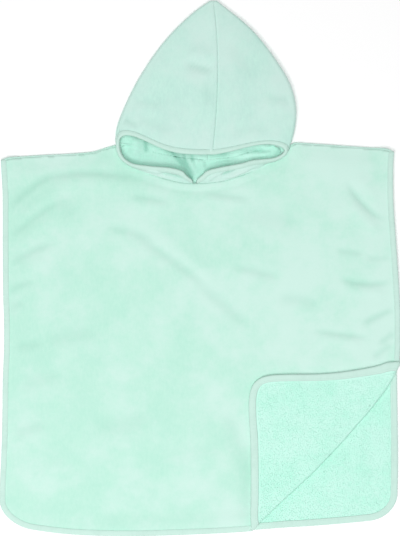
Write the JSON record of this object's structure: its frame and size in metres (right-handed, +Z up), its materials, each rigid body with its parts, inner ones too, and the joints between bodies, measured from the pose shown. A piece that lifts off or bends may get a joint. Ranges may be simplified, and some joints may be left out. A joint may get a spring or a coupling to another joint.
{
  "type": "hooded bath poncho",
  "caption": "Hooded towelling bath poncho for a small child, lying flat with its hood laid back, its edges bound with tape and a lower corner of the front turned up.",
  "frame": {"origin": "centre of the footprint, on the surface the poncho lies on", "axes": "+Z up off the surface, +Y from the hem towards the tip of the hood, +X to the right seen from above, which is the wearer's left"},
  "size_m": [0.6403, 0.857, 0.0288],
  "materials": {
    "front_panel": "pale mint towelling, sheared outside and looped inside",
    "back_panel": "pale mint towelling, sheared outside and looped inside",
    "hood_left": "pale mint towelling, sheared outside and looped inside",
    "hood_right": "pale mint towelling, sheared outside and looped inside",
    "front_binding": "smooth matte mint bias tape",
    "back_binding": "smooth matte mint bias tape",
    "hood_binding": "smooth matte mint bias tape"
  },
  "bodies": {
    "root": {"front_panel": "front_panel", "back_panel": "back_panel", "front_binding": "front_binding", "back_binding": "back_binding", "hood_left": "hood_left", "hood_right": "hood_right", "hood_binding": "hood_binding"}
  },
  "joints": []
}
